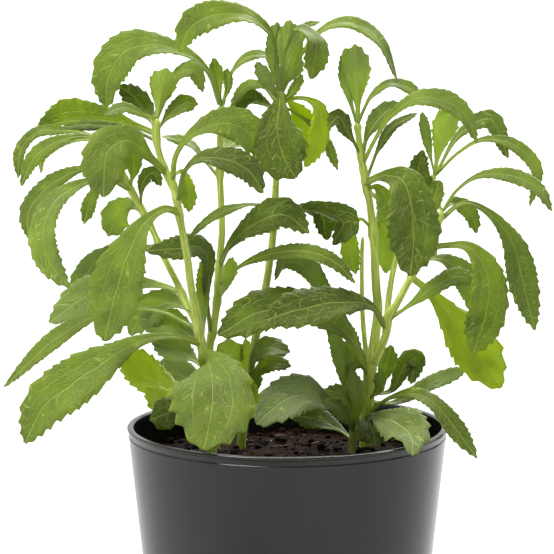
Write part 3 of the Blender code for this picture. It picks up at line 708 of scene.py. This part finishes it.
def leaf_material():
    """blade holds (across from -1 to 1, along from 0 to 1, 1 underneath), blade_mm (across and along in mm, a
    number for the leaf) and look (its tone with painted light and shade, its share of painted silvery sheen,
    0)."""
    n = Nodes("leaf")
    across, along, under = n.parts(n.attribute("blade"))
    tone_and_light, sheen_share, _ = n.parts(n.attribute("look"))
    in_mm = n.attribute("blade_mm")
    x_mm, y_mm, seed = n.parts(in_mm)
    side = n.math("ABSOLUTE", across)
    side_mm = n.math("ABSOLUTE", x_mm)
    wander = n.off_centre(n.noise(in_mm, 0.16, 2))
    # main veins: the midrib and one on each side of it that follows the edge
    midrib = n.fade(side_mm, 0.12, 0.5)
    lateral = n.math("ABSOLUTE", n.math("SUBTRACT", side, n.times_plus(wander, 0.12, VEIN_OFFSET)))
    lateral = n.fade(lateral, 0.004, 0.042)
    # side veins that leave the midrib and run forward to the edge, and the net between them
    reach = n.times_plus(side_mm, -1.25, y_mm)
    ribs = n.fade(n.math("PINGPONG", n.times_plus(wander, 3.2, reach), 2.1), 0.03, 0.34)
    ribs = n.times(ribs, n.ramp(along, 0.22, 0.4))
    slanted = n.scaled(n.joined(x_mm, reach, seed), (0.7, 1.0, 1.0))
    coarse_net = n.fade(n.cells(slanted, 0.42), 0.004, 0.085)
    fine_net = n.fade(n.cells(in_mm, 1.15), 0.015, 0.14)
    net = n.math("MAXIMUM", n.times(coarse_net, 0.85), n.times(fine_net, 0.38))
    veins = n.math("MAXIMUM", midrib, n.times(lateral, 0.55))
    veins = n.math("MAXIMUM", veins, n.math("MAXIMUM", n.times(ribs, 0.62), net))
    # colour: the leaf's tone, with random patches and lighter towards the foot, runs from the deep green
    # through the middle one to the bright one, and so paints shade on dark-toned leaves and backlight on
    # bright ones
    grain = n.noise(in_mm, 1.1, 3)
    level = n.times_plus(n.off_centre(n.noise(in_mm, 0.09, 4)), 0.9, tone_and_light)
    level = n.times_plus(n.math("SUBTRACT", 0.55, along), 0.22, level)
    level = n.times_plus(n.off_centre(grain), 0.18, level)
    green = n.mix(n.ramp(level, 0.0, 0.55), SHADED_DEEP_GREEN, MIDDLE_GREEN)
    green = n.mix(n.ramp(level, 0.5, 1.05), green, BACKLIT_BRIGHT_GREEN)
    # painted silvery sheen
    green = n.mix(n.times(sheen_share, 0.85), green, SHEEN_SILVER_GREEN)
    green = n.mix(n.times(n.fade(along, 0.04, 0.3), 0.75), green, VEIN_GREEN)
    green = n.mix(n.times(veins, 0.62), green, VEIN_GREEN)
    # painted backlit rim: the blade's edges lighter towards the bright green
    green = n.mix(n.times(n.ramp(side, 0.93, 1.0), 0.6), green, BACKLIT_BRIGHT_GREEN)
    green = n.mix(n.times(under, 0.6), green, UNDERSIDE_GREEN)
    # relief: veins sunk on top and raised below, and the blade uneven between them
    height = n.times(veins, n.times_plus(under, 2.0, -1.0))
    height = n.times_plus(n.noise(in_mm, 0.75, 4), 0.7, height)
    normal = n.bump(height, 0.0006, 0.9)
    roughness = n.times_plus(grain, 0.26, 0.34)
    sheen = {"Sheen_Weight": 0.03, "Sheen_Roughness": 0.35}
    surface = n.shader(green, roughness, normal, Specular_IOR_Level=0.42, **sheen)
    glow = n.mix(n.ramp(level, 0.1, 1.0), *LEAF_GLOW)
    return n.finish(surface, n.mix(n.times(veins, 0.35), glow, VEIN_GREEN), 0.42)


def stem_material():
    """stem_mm holds (around, along, a number for the stem) in mm."""
    n = Nodes("stem")
    in_mm = n.attribute("stem_mm")
    streaks = n.noise(n.scaled(in_mm, (1.0, 0.06, 1.0)), 1.6, 4)
    patches = n.noise(in_mm, 0.05, 3)
    specks = n.fade(n.cells(in_mm, 1.5), 0.02, 0.12)
    colour = n.mix(n.ramp(streaks, 0.3, 0.7), *STEM_STREAKS)
    colour = n.mix(n.times(n.ramp(patches, 0.45, 0.7), 0.4), colour, STEM_PATCH)
    colour = n.mix(n.times(specks, 0.15), colour, STEM_SPECK)
    normal = n.bump(n.times_plus(specks, 0.3, streaks), 0.00025, 0.8)
    roughness = n.times_plus(patches, 0.2, 0.38)
    surface = n.shader(colour, roughness, normal, Sheen_Weight=0.2, Sheen_Roughness=0.4)
    return n.finish(surface, n.mix(0.5, colour, STEM_GLOW), 0.18)


def hair_material():
    n = Nodes("stem_hair")
    colour = n.mix(n.noise(n.place(), 900.0, 2), *HAIR_COLOURS)
    return n.finish(n.shader(colour, 0.5), n.mix(0.5, colour, HAIR_GLOW), 0.4)


def soil_material():
    n = Nodes("soil")
    place = n.place()
    clods = n.noise(place, 160.0, 6)
    fine = n.noise(place, 1400.0, 5)
    colour = n.mix(n.ramp(clods, 0.35, 0.68), *SOIL_COLOURS)
    colour = n.mix(n.ramp(fine, 0.55, 0.75), colour, SOIL_GRAIN)
    normal = n.bump(n.times_plus(fine, 0.6, clods), 0.0012)
    return n.finish(n.shader(colour, n.times_plus(fine, 0.2, 0.75), normal, Specular_IOR_Level=0.05))


def soil_bit_material():
    n = Nodes("soil_bits")
    fibres = n.noise(n.scaled(n.place(), (1.0, 3.0, 1.0)), 700.0, 4)
    colour = n.mix(n.ramp(fibres, 0.35, 0.65), *BIT_COLOURS)
    return n.finish(n.shader(colour, 0.85, n.bump(fibres, 0.0005)))


def pot_outside_material():
    """Satin charcoal with a faint sprayed grain and slightly uneven gloss."""
    n = Nodes("pot_outside")
    place = n.place()
    grain = n.noise(place, 2600.0, 3)
    bands = n.noise(n.scaled(place, (1.0, 1.0, 0.15)), 40.0, 4)
    colour = n.mix(n.ramp(bands, 0.3, 0.75), *OUTSIDE_COLOURS)
    normal = n.bump(grain, 0.00005, 0.5)
    return n.finish(n.shader(colour, n.times_plus(bands, 0.10, 0.17), normal, Specular_IOR_Level=0.40))


def pot_inside_material():
    """Glossy black, with the streaks that watering leaves."""
    n = Nodes("pot_inside")
    streaks = n.noise(n.scaled(n.place(), (1.0, 1.0, 0.12)), 90.0, 4)
    colour = n.mix(n.ramp(streaks, 0.4, 0.75), *INSIDE_COLOURS)
    normal = n.bump(streaks, 0.0001, 0.5)
    return n.finish(n.shader(colour, n.times_plus(streaks, 0.22, 0.05), normal, Specular_IOR_Level=0.5))


# Leaves

def half_width_share(share):
    """Half of the leaf's width, as a share of its widest, from its foot at 0 to its tip at 1."""
    stops = (0, 0.10, 0.20, 0.30, 0.42, 0.56, 0.70, 0.80, 0.88, 0.94, 0.975, 0.992, 1.0)
    widths = (0.15, 0.15, 0.18, 0.31, 0.58, 0.87, 1.0, 0.93, 0.73, 0.47, 0.25, 0.12, 0.03)
    return 0.5 * smoothed(np.interp(share, stops, widths), 2)


def tooth_shape(share, count):
    """Blunt teeth that lean forward: a slow rise to 1 and a quick fall."""
    phase = (share * count + 0.3 * np.sin(share * count * 1.3)) % 1.0
    return np.where(phase < 0.72, (phase / 0.72) ** 1.3, 1 - (phase - 0.72) / 0.28)


def tooth_push(width, length, along, aside, chance):
    """How far the teeth of the blade's outer half push each point out."""
    count = length / (TOOTH_SPACING[0] + TOOTH_SPACING[1] * width)
    toothed = np.clip((along - 0.34) / 0.08, 0, 1) * np.clip((1.0 - along) / 0.03, 0, 1)
    left = tooth_shape(along + chance.random() * 0.2, count)
    right = tooth_shape(along + chance.random() * 0.2, count)
    tooth = (np.where(aside < 0, left, right) - 0.45) * toothed
    return tooth * np.abs(aside) ** 5 * (TOOTH_DEPTH[0] + TOOTH_DEPTH[1] * width)


def blade_form(fold, length, along, aside, x, half, chance):
    """The blade's height over its midrib: raised edges, quilted veins, a rolled margin and a slow wave."""
    blade = np.clip((along - 0.12) / 0.3, 0, 1)
    lift = math.tan(math.radians(fold * FOLD_SHARE))
    rise = lift * half * (0.6 * np.abs(aside) + 0.4 * aside ** 2 - 0.4 * blade)
    valley = -VALLEY_DEPTH * half * np.exp(-(((np.abs(aside) - VEIN_OFFSET) / 0.10) ** 2)) * blade
    quilt_phase = along * length / QUILT_LENGTHS[0] - np.abs(x) / QUILT_LENGTHS[1]
    quilt = QUILT_DEPTH * half * np.sin(quilt_phase) * (1 - aside ** 2) * blade
    margin = -MARGIN_ROLL * half * np.abs(aside) ** 6 * blade
    wave_start = chance.random() * 6.28
    wave_phase = along * (9 + 5 * chance.random()) + wave_start + 1.7 * np.sign(aside)
    wave = WAVE_DEPTH * half * np.sin(wave_phase) * aside ** 2 * blade
    return rise + valley + quilt + margin + wave


def blade_faces(middle, along, aside, x, half):
    """The heights of the upper and the lower face, with the midrib between them and a round stalk."""
    rib = np.exp(-((x / RIB_WIDTH) ** 2)) * (1 - 0.8 * along)
    thick = BLADE_THICKNESS * 0.5 * (1 - 0.75 * np.abs(aside) ** 4)
    stalk = np.sqrt(np.clip(1 - aside ** 2, 0, 1)) * half * 0.75 * (1 - np.clip(along / 0.34, 0, 1))
    groove = RIB_GROOVE * rib * np.clip((along - 0.12) / 0.3, 0, 1)
    return middle + thick + stalk * 0.55 - groove, middle - thick - stalk - RIB_DEPTH * rib


def blade_frames(line, turns):
    """At each midrib point, the direction along it, across the blade, and the one its upper face looks in."""
    tangents = tangents_of(line)
    to_eye = unit(np.array(EYE) - line)
    side = smoothed(np.cross(tangents, to_eye), len(line))
    side = unit(side - tangents * (side * tangents).sum(1, keepdims=True))
    facing = np.cross(side, tangents)
    angle = np.radians(np.linspace(*turns, len(line)))[:, None]
    across = side * np.cos(angle) + facing * np.sin(angle)
    return tangents, across, np.cross(across, tangents)


def build_leaf(name, leaf, material):
    node = name if name.startswith("leaf_") else None
    rows, columns = BLADE_GRID if node else SMALL_BLADE_GRID
    chance = random.Random(name)
    foot = foot_on(leaf.stem, leaf.route, LEAF_SINK)
    line = smooth_curve([foot, *(seen(*spot) for spot in leaf.route[1:])], rows)
    length = length_of(line)
    along = np.linspace(0, 1, rows)[:, None]
    aside = np.sin(np.linspace(-1, 1, columns) * math.pi / 2)[None, :]
    half = WIDTH_SHARE * leaf.width * MM * half_width_share(along[:, 0])[:, None]
    push = tooth_push(leaf.width * MM, length, along, aside, chance)
    x = half * aside + np.sign(aside) * push
    middle = blade_form(leaf.fold, length, along, aside, x, half, chance)

    tangents, across, up = (values[:, None, :] for values in blade_frames(line, leaf.turns))
    flat = line[:, None, :] + across * x[:, :, None] + tangents * (push * TOOTH_LEAN)[:, :, None]
    heights = blade_faces(middle, along, aside, x, half)
    points = np.concatenate([(flat + up * height[:, :, None]).reshape(-1, 3) for height in heights])
    size = rows * columns
    faces = grid_faces(rows, columns) + grid_faces(rows, columns, size, flip=True)
    border = grid_border(rows, columns)
    faces += [(a, b, b + size, a + size) for a, b in zip(border, border[1:] + border[:1])]
    title = name + "_blade" if node else name
    piece = add_piece(title, mesh_of(title, points, faces), [material], node)

    seed = chance.random() * 400
    spots = [np.tile(np.broadcast_to(part, (rows, columns)).ravel(), 2) for part in (aside, along, x)]
    write_vectors(piece.data, "blade", spots[0], spots[1], np.repeat((0, 1), size))
    write_vectors(piece.data, "blade_mm", spots[2] / MM, spots[1] * length / MM, seed)
    write_vectors(piece.data, "look", *leaf.look, 0)


# Stems

def node_places(name):
    """How far along the stem, from 0 to 1, each leaf or branch leaves it."""
    line, _ = stem_line(name)
    grown = [leaf for leaf in LEAVES.values() if leaf.stem == name]
    grown += [stem for stem in STEMS.values() if stem.parent == name]
    places = []
    for item in grown:
        foot = np.array(foot_on(name, item.route, 0))
        places.append(int(np.argmin(np.linalg.norm(line - foot, axis=1))) / (len(line) - 1))
    return places


def stem_hairs(number, line, ring, out, tangents, chance):
    """Spikes with three sides, as points and as faces that count on from the ring's points."""
    points, faces = [], []
    for _ in range(number):
        i = chance.randrange(len(line))
        if line[i][2] < SOIL_HIGH.z + HAIRLESS_FOOT:
            continue
        j = chance.randrange(STEM_SIDES)
        outward = out[i, j] + tangents[i] * chance.uniform(-0.4, 0.7)
        outward = unit(outward + np.array([chance.uniform(-0.35, 0.35) for _ in range(3)]))
        root = ring[i, j] - outward * HAIR_SINK
        reach = HAIR_LENGTH * chance.uniform(0.45, 1.25)
        first = unit(np.cross(outward, tangents[i]))
        second = np.cross(outward, first)
        base = len(line) * STEM_SIDES + len(points)
        for turn in range(3):
            angle = turn * 2 * math.pi / 3
            points.append(root + (first * math.cos(angle) + second * math.sin(angle)) * HAIR_RADIUS)
        points.append(root + outward * reach)
        faces += [(base, base + 1, base + 3), (base + 1, base + 2, base + 3), (base + 2, base, base + 3)]
    return points, faces


def build_stem(name, material, hairs):
    chance = random.Random(name)
    length = length_of(stem_line(name)[0])
    count = int(length / STEM_STEP)
    line, radii = stem_line(name, count)
    tangents = tangents_of(line)
    side = unit(np.cross(tangents, (0, -1, 0)))
    front = np.cross(side, tangents)
    along = np.linspace(0, 1, count)
    swell = np.zeros(count)
    for place in node_places(name):
        swell += np.exp(-(((along - place) * length / NODE_LENGTH) ** 2))
    tip = np.clip((1 - along) * length / STEM_TIP, 0.05, 1)
    angle = np.linspace(0, 2 * math.pi, STEM_SIDES, endpoint=False)
    ridges = 1 + 0.05 * np.cos(6 * angle[None, :] + 3 * along[:, None])
    radius = (radii * tip)[:, None] * ridges + NODE_SWELL * np.clip(swell, 0, 1.2)[:, None]
    out = side[:, None, :] * np.cos(angle)[None, :, None] + front[:, None, :] * np.sin(angle)[None, :, None]
    ring = line[:, None, :] + out * radius[:, :, None]
    faces = grid_faces(count, STEM_SIDES, closed=True)
    faces.append(tuple(range(STEM_SIDES))[::-1])
    faces.append(tuple((count - 1) * STEM_SIDES + j for j in range(STEM_SIDES)))

    seed = chance.random() * 300
    number = int(length / MM * HAIRS_PER_MM)
    hair_points, hair_faces = stem_hairs(number, line, ring, out, tangents, chance)
    points = [*ring.reshape(-1, 3), *hair_points]
    title = name + "_stalk"
    piece = add_piece(title, mesh_of(title, points, faces + hair_faces), [material, hairs], name)
    slots = np.repeat((0, 1), (len(faces), len(hair_faces))).astype(np.int32)
    piece.data.polygons.foreach_set("material_index", slots)
    around_mm = (angle[None, :] * radii[:, None] / MM).ravel()
    along_mm = np.repeat(along * length / MM, STEM_SIDES)
    parts = (around_mm, along_mm, np.full(len(along_mm), seed))
    write_vectors(piece.data, "stem_mm", *(np.pad(part, (0, len(hair_points))) for part in parts))


# Soil

def soil_height(x, y):
    """The bumpy surface of the soil above its mean level, in metres."""
    spot = Vector((x, y, 0.3))
    lumps = noise.noise(spot * 70) * 1.5 + noise.noise(spot * 190) * 1.1
    return (lumps + noise.noise(spot * 480) * 0.7 + noise.noise(spot * 1100) * 0.35) * MM


def add_crumb(bm, index, chance):
    """A lump of soil or, from the number SOIL_CRUMBS on, a flat bit of bark."""
    is_bit = index >= SOIL_CRUMBS
    radius = SOIL_RADIUS * 0.97 * math.sqrt(chance.random())
    angle = chance.random() * 2 * math.pi
    x, y = radius * math.cos(angle), radius * math.sin(angle)
    size = chance.uniform(*SOIL_BIT_SIZES) if is_bit else MM * (0.4 + 1.3 * chance.random() ** 3)
    lump = bmesh.ops.create_icosphere(bm, subdivisions=2 if size > LARGE_CRUMB else 1, radius=size)["verts"]
    stretch = (chance.uniform(1.5, 3.2), 0.5, 0.45) if is_bit else (chance.uniform(0.8, 1.4), 1, 0.8)
    turn = Matrix.Rotation(chance.random() * 6.28, 3, "Z")
    centre = Vector((x, y, SOIL_TOP + soil_height(x, y) + size * 0.25))
    for vert in lump:
        uneven = 1 + 0.45 * noise.noise(vert.co.normalized() * 2.2 + Vector((index, 0, 0)))
        vert.co = centre + turn @ (vert.co * uneven * Vector(stretch))
    if is_bit:
        for face in {face for vert in lump for face in vert.link_faces}:
            face.material_index = 1


def build_soil(material, bits):
    bm = bmesh.new()
    middle = bm.verts.new((0, 0, SOIL_TOP + soil_height(0, 0)))
    rings = []
    for i in range(1, SOIL_RINGS + 1):
        radius = SOIL_RADIUS * i / SOIL_RINGS
        sunk = SOIL_EDGE_DROP * max(0.0, (i / SOIL_RINGS - SOIL_EDGE_START) / (1 - SOIL_EDGE_START))
        ring = []
        for j in range(SOIL_SECTORS):
            angle = 2 * math.pi * j / SOIL_SECTORS
            x, y = radius * math.cos(angle), radius * math.sin(angle)
            ring.append(bm.verts.new((x, y, SOIL_TOP + soil_height(x, y) - sunk)))
        rings.append(ring)
    taper = SOIL_FOOT_RADIUS / SOIL_RADIUS
    rings.append([bm.verts.new((v.co.x * taper, v.co.y * taper, SOIL_LOW.z)) for v in rings[-1]])
    for j in range(SOIL_SECTORS):
        k = (j + 1) % SOIL_SECTORS
        bm.faces.new((middle, rings[0][j], rings[0][k]))
        for low, high in zip(rings, rings[1:]):
            bm.faces.new((low[j], high[j], high[k], low[k]))
    bm.faces.new(rings[-1])
    chance = random.Random(31)
    for index in range(SOIL_CRUMBS + SOIL_BITS):
        add_crumb(bm, index, chance)
    mesh = bpy.data.meshes.new("soil_surface")
    bmesh.ops.recalc_face_normals(bm, faces=bm.faces)
    bm.to_mesh(mesh)
    bm.free()
    add_piece("soil_surface", mesh, [material, bits], "soil")


# Pot

def arc(centre, radius, start, end, steps=5):
    """Points of a round corner in the pot's profile, with angles in degrees."""
    angles = np.radians(np.linspace(start, end, steps))
    return [(centre[0] + radius * math.cos(a), centre[1] + radius * math.sin(a)) for a in angles]


def pot_profile():
    """The pot's outline as (radius, height): its outside up to the rim, and its inside from there down."""
    lip_foot = POT_HEIGHT - LIP_HEIGHT
    body_top = lip_foot - GROOVE_HEIGHT
    body_radius = RIM_RADIUS - LIP_OVERHANG
    slope = (body_radius - BASE_RADIUS) / body_top
    hollow, foot = (BASE_RADIUS - inset for inset in BASE_RING_INSETS)
    outer = [(0, BASE_HOLLOW), (hollow, BASE_HOLLOW), (foot, 0.0)]
    outer += arc((BASE_RADIUS - BASE_ROUNDING, BASE_ROUNDING), BASE_ROUNDING, -90, 0)
    outer += [(BASE_RADIUS + slope * h, h) for h in np.linspace(BODY_FOOT, body_top - BODY_END, 14)]
    shoulder = (body_radius - SHOULDER_ROUNDING, body_top - SHOULDER_DROP)
    outer += arc(shoulder, SHOULDER_ROUNDING, 10, 80)
    groove = RIM_RADIUS - GROOVE_DEPTH
    outer += [(groove, body_top + GROOVE_MARGINS[0]), (groove, lip_foot - GROOVE_MARGINS[1])]
    outer += arc((RIM_RADIUS - LIP_ROUNDING, lip_foot + LIP_ROUNDING), LIP_ROUNDING, -80, 0)
    outer += arc((RIM_RADIUS - RIM_ROUNDING, POT_HEIGHT - RIM_ROUNDING), RIM_ROUNDING, 0, 90)
    inner_top = RIM_RADIUS - WALL
    inner_foot = BASE_RADIUS + slope * FLOOR_THICKNESS - WALL
    inner = arc((inner_top + RIM_ROUNDING, POT_HEIGHT - RIM_ROUNDING), RIM_ROUNDING, 90, 180)
    for height in np.linspace(POT_HEIGHT - INNER_CORNER, FLOOR_THICKNESS + INNER_CORNER, 12):
        inner.append((inner_foot + (inner_top - inner_foot) * (height / POT_HEIGHT), height))
    inner += [(inner_foot - INNER_CORNER, FLOOR_THICKNESS), (0, FLOOR_THICKNESS)]
    return outer, inner


def build_pot(outside, inside):
    outer, inner = pot_profile()
    profile = outer + inner
    angles = np.linspace(0, 2 * math.pi, POT_SEGMENTS, endpoint=False)
    points = [(r * math.cos(a), r * math.sin(a), z) for r, z in profile[1:-1] for a in angles]
    faces = grid_faces(len(profile) - 2, POT_SEGMENTS, closed=True)
    walls = len(faces)
    low, high = len(points), len(points) + 1
    last = len(points) - POT_SEGMENTS
    points += [(0, 0, profile[0][1]), (0, 0, profile[-1][1])]
    for j in range(POT_SEGMENTS):
        k = (j + 1) % POT_SEGMENTS
        faces += [(low, k, j), (high, last + j, last + k)]
    piece = add_piece("pot_body", mesh_of("pot_body", points, faces), [outside, inside], "pot")
    slots = np.zeros(len(faces), np.int32)
    slots[(len(outer) - 1) * POT_SEGMENTS:walls] = 1
    slots[walls + 1::2] = 1
    piece.data.polygons.foreach_set("material_index", slots)


# Studio and camera

def build_floor():
    corners = [(x * FLOOR_REACH, y * FLOOR_REACH, 0) for x, y in ((-1, -1), (1, -1), (1, 1), (-1, 1))]
    mesh = bpy.data.meshes.new("floor")
    mesh.from_pydata(corners, [], [(0, 1, 2, 3)])
    n = Nodes("floor")
    mesh.materials.append(n.finish(n.shader(n.mix(n.noise(n.place(), 0.7, 2), *FLOOR_COLOURS), 0.6)))
    link("floor", mesh)


def build_lights():
    n = Nodes("studio", "worlds", "ShaderNodeOutputWorld")
    _, towards_back, _ = n.parts(n.add("ShaderNodeTexCoord").outputs["Generated"])
    level = n.fill(n.add("ShaderNodeMapRange"), towards_back, -1, 1, FRONT_LIGHT, BACK_LIGHT)
    bpy.context.scene.world = n.finish(n.fill(n.add("ShaderNodeBackground"), (1, 1, 1), level))
    for name, (towards, spread, strength) in SUNS.items():
        light = bpy.data.lights.new(name, "SUN")
        light.angle = math.radians(spread)
        light.energy = strength
        lamp = link(name, light)
        lamp.location = towards
        lamp.rotation_euler = (-Vector(towards)).to_track_quat("-Z", "Y").to_euler()
    bpy.context.scene.view_settings.view_transform = "Standard"


def build_camera():
    data = bpy.data.cameras.new("camera")
    data.sensor_width = SENSOR_WIDTH
    data.lens = VIEW_FOCAL / VIEW_WIDTH * SENSOR_WIDTH
    data.shift_x = (VIEW_MIDDLE - VIEW_RIM_CENTRE[0]) / VIEW_WIDTH
    data.clip_end = 100
    camera = link("camera", data)
    camera.location = EYE
    camera.rotation_euler = (math.pi / 2 - VIEW_PITCH, 0, 0)
    bpy.context.scene.camera = camera


def main():
    build_camera()
    build_floor()
    build_lights()
    build_pot(pot_outside_material(), pot_inside_material())
    build_soil(soil_material(), soil_bit_material())
    stem_look, hair_look = stem_material(), hair_material()
    for name in STEMS:
        build_stem(name, stem_look, hair_look)
    leaf_look = leaf_material()
    for name, leaf in LEAVES.items():
        build_leaf(name, leaf, leaf_look)


main()
